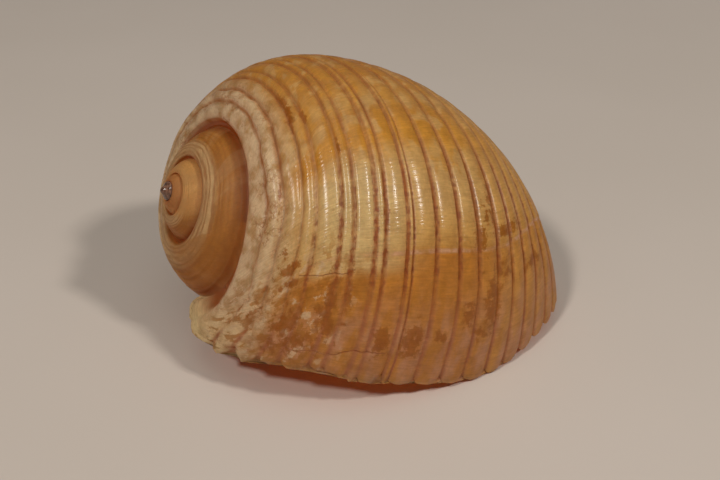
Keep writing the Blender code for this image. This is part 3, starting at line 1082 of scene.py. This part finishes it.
def outer_fields(tree):
    """What the outer colours follow, by name: the place on the shell, the mesh's own fields, and noise."""
    grid = add(tree, "UVMap", uv_map="growth")
    spot = add(tree, "TexCoord", out="Object")
    along = add(tree, "SeparateXYZ", {0: grid})
    at = {"along": add(tree, "Math", {0: along, 1: 1 / GRID_STEP}, **TIMES)}
    at["grown"] = add(tree, "SeparateXYZ", {0: grid}, out=1)
    for name in ("groove", "blotch"):
        at[name] = add(tree, "Attribute", attribute_name=name, out="Fac")
    for name, (length, width, detail, roughness) in STREAKS.items():
        scale = (1 / (length * GRID_STEP), GIRTH / width, 1.0)
        where = add(tree, "Mapping", {"Vector": grid, "Scale": scale})
        at[name] = add(tree, "TexNoise", lumpy(where, 1.0, detail, roughness))
    for name, (size, detail, roughness) in LUMPS.items():
        at[name] = add(tree, "TexNoise", lumpy(spot, per_metre(size), detail, roughness))
    return at


def add_marks(tree, at):
    """Fields worked out from the others: shifted growth, lines, creases, cracks, skin and threads."""
    # Behind the last pause in growth each rib's bands stand a little apart from its neighbours'
    unsettled = overlap(tree, at, [("grown", -0.09, -0.14, 0.003, 0.022)])
    shift = add(tree, "Math", {0: at["ribwise"], 1: 0.5}, **MINUS)
    shift = add(tree, "Math", {0: shift, 1: unsettled}, **TIMES)
    at["shifted"] = add(tree, "Math", {0: at["grown"], 1: shift}, **PLUS)
    for name, field, middle in (("from_pause", "grown", REST_MARK[1]), ("ridge_line", "ridge", 0.5)):
        apart = add(tree, "Math", {0: at[field], 1: middle}, **MINUS)
        at[name] = add(tree, "Math", {0: apart}, **SIZE)
    rough_edge = add(tree, "MapRange", {0: at["rag"], 1: 0.3, 2: 0.7, 3: -SKIN_RAGS, 4: SKIN_RAGS})
    at["ragged"] = add(tree, "Math", {0: at["blotch"], 1: rough_edge}, **PLUS)
    sway = add(tree, "Math", {0: at["ribwise"], 1: THREAD_SWAY}, **TIMES)
    wavy = add(tree, "Math", {0: at["along"], 1: sway}, **PLUS)
    wavy = add(tree, "Math", {0: wavy, 1: TURN / SPIRE_THREAD}, **TIMES)
    at["threads"] = add(tree, "Math", {0: wavy}, operation="SINE")
    at["cracks"] = crack_field(tree, at)
    zones = {"creases": CREASED, "threaded": THREADED, "corner": CORNER, "spire": [SPIRE]}
    for name, parts in zones.items():
        at[name] = overlap(tree, at, parts)
    at["spire_threads"] = overlap(tree, at, ("threads", "spire", "threaded"))


def outer_colour(tree, at):
    """Bands along the growth lines, the layers over them, and the shades of fine patterns."""
    at["older_bands"] = coloured_along(tree, at["older"], OLDER_BANDS)
    at["groove_bands"] = coloured_along(tree, at["shifted"], GROOVE_BANDS)
    at["spire_bands"] = lay(tree, at, coloured_along(tree, at["along"], SPIRE_BANDS), SPIRE_LAYERS)
    colour = lay(tree, at, coloured_along(tree, at["shifted"], BANDS), LAYERS)
    for name, (darkest, lightest) in SHADES.items():
        colour = shade(tree, colour, at[name], 0.14, darkest, lightest)
    return colour


def outer_material():
    """Old aragonite with a thin horny skin: banded by growth, glossy on the ribs, chalky where worn."""
    material, tree, shader = new_material("weathered_aragonite")
    at = outer_fields(tree)
    add_marks(tree, at)
    tree.links.new(outer_colour(tree, at), shader.inputs["Base Color"])
    dull = at["corner"]
    for zones in DULLED:
        dull = add(tree, "Math", {0: dull, 1: overlap(tree, at, zones)}, **HIGHER)
    rough = add(tree, "MapRange", {0: dull, 3: POLISHED, 4: WORN_DULL})
    for zones in ROUGHER:
        rough = add(tree, "Math", {0: rough, 1: overlap(tree, at, zones)}, **PLUS)
    tree.links.new(rough, shader.inputs["Roughness"])
    grain_height = add(tree, "MapRange", {0: dull, 3: GRAIN_HEIGHT[0], 4: GRAIN_HEIGHT[1]})
    height = add(tree, "Math", {0: at["grain"], 1: grain_height}, **TIMES)
    for name, tall in HEIGHTS.items():
        part = add(tree, "Math", {0: at[name], 1: tall}, **TIMES)
        height = add(tree, "Math", {0: height, 1: part}, **PLUS)
    bump = add(tree, "Bump", {"Strength": 0.9, "Distance": MM, "Height": height})
    tree.links.new(bump, shader.inputs["Normal"])
    let_light_through(tree, shader, OUTER_LIGHT_THROUGH)
    return material


def inner_material():
    """The smooth glaze that lines the hollow: paler at the lip and browner inside."""
    material, tree, shader = new_material("shell_glaze")
    grown = add(tree, "SeparateXYZ", {0: add(tree, "UVMap", uv_map="growth")}, out=1)
    groove = add(tree, "Attribute", attribute_name="groove", out="Fac")
    colour = coloured_along(tree, grown, HOLLOW_BANDS)
    colour = lay(tree, {"groove": groove}, colour, [(GROOVE_BROWN, "groove", 0.35)])
    cloud = add(tree, "TexNoise", lumpy(add(tree, "TexCoord", out="Object"), per_metre(14.29)))
    colour = shade(tree, colour, cloud, 0.2, 0.9, 1.06)
    tree.links.new(colour, shader.inputs["Base Color"])
    shader.inputs["Roughness"].default_value = GLAZED
    let_light_through(tree, shader, INNER_LIGHT_THROUGH)
    return material


def bead_material():
    """The horny first chamber: dark purple-brown and glossy as varnish."""
    material, tree, shader = new_material("horny_first_chamber")
    fleck = add(tree, "TexNoise", lumpy(add(tree, "TexCoord", out="Object"), per_metre(1.111)))
    colour = coloured_along(tree, fleck, ((0.4, BEAD_DARK), (0.6, BEAD_LIGHT)))
    tree.links.new(colour, shader.inputs["Base Color"])
    shader.inputs["Roughness"].default_value = VARNISHED
    return material


def shell_object():
    skin = Skin()
    spire, last, joint, per_turn = outer_skin(skin)
    close_tip(skin, spire, per_turn)
    hollow(skin, last, joint)
    mesh = bpy.data.meshes.new("grown_shell")
    corner_point = np.array(skin.corner_point)
    faces = [corner_point[face].tolist() for face in skin.faces]
    mesh.from_pydata(lay_down(skin.points).tolist(), [], faces)
    mesh.polygons.foreach_set("material_index", skin.slots)
    corners = np.concatenate([np.array(face) for face in skin.faces])
    places = np.array(skin.corner_place)[corners] * (GRID_STEP, 1.0)
    layer = mesh.uv_layers.new(name="growth")
    layer.data.foreach_set("uv", places.astype(np.float32).reshape(-1))
    for name, values in skin.fields.items():
        field = mesh.attributes.new(name, "FLOAT", "POINT")
        field.data.foreach_set("value", np.array(values, np.float32))
    work = bmesh.new()
    work.from_mesh(mesh)
    bmesh.ops.recalc_face_normals(work, faces=work.faces)
    work.to_mesh(mesh)
    work.free()
    mesh.shade_smooth()
    for make in (outer_material, inner_material, bead_material):
        mesh.materials.append(make())
    shell = bpy.data.objects.new("grown_shell", mesh)
    bpy.context.scene.collection.objects.link(shell)
    return shell


def floor_object():
    """A pale painted table top."""
    bpy.ops.mesh.primitive_plane_add(size=TABLE_SIZE)
    floor = bpy.context.object
    floor.name = "table_top"
    material, tree, shader = new_material("pale_table_paint")
    spot = add(tree, "TexCoord", out="Object")
    cloud = add(tree, "TexNoise", lumpy(spot, per_metre(333.3)))
    colour = coloured_along(tree, cloud, ((0.3, TABLE_DARK), (0.7, TABLE_LIGHT)))
    tree.links.new(colour, shader.inputs["Base Color"])
    shader.inputs["Roughness"].default_value = TABLE_PAINT
    floor.data.materials.append(material)
    return floor


def direction(azimuth, elevation):
    """From the shell towards this azimuth and elevation, in degrees."""
    a, e = math.radians(azimuth), math.radians(elevation)
    return Vector((math.sin(a) * math.cos(e), -math.cos(a) * math.cos(e), math.sin(e)))


def add_lamp(name, azimuth, elevation, distance, size, power):
    """A square lamp that faces the shell."""
    light = bpy.data.lights.new(name, "AREA")
    light.shape = "SQUARE"
    light.size = size
    light.energy = power
    light.color = WARM_WHITE
    lamp = bpy.data.objects.new(name, light)
    out = direction(azimuth, elevation)
    lamp.location = out * distance
    lamp.rotation_euler = out.to_track_quat("Z", "Y").to_euler()
    bpy.context.scene.collection.objects.link(lamp)


def add_lights():
    for name, settings in LAMPS.items():
        add_lamp(name, *settings)
    world = bpy.data.worlds.new("room")
    bpy.context.scene.world = world
    world.use_nodes = True
    background = world.node_tree.nodes["Background"]
    background.inputs["Color"].default_value = (*WARM_WHITE, 1.0)
    background.inputs["Strength"].default_value = ROOM_LIGHT
    bpy.context.scene.view_settings.view_transform = "Standard"


def add_camera():
    data = bpy.data.cameras.new("camera")
    data.sensor_width = SENSOR_WIDTH
    data.lens = CAMERA_LENS
    camera = bpy.data.objects.new("camera", data)
    back = direction(CAMERA_AZIMUTH, CAMERA_ELEVATION)
    level = direction(CAMERA_AZIMUTH + 90, 0.0)
    roll = Matrix.Rotation(math.radians(CAMERA_ROLL), 3, back)
    right = roll @ level
    up = back.cross(right)
    camera.matrix_world = Matrix((right, up, back)).transposed().to_4x4()
    camera.location = (Vector(CAMERA_AIM) + CAMERA_DISTANCE * back) * MM
    bpy.context.scene.collection.objects.link(camera)
    bpy.context.scene.camera = camera


def main():
    shell = shell_object()
    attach(shell, "root")
    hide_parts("shell")
    floor_object()
    add_lights()
    add_camera()


main()
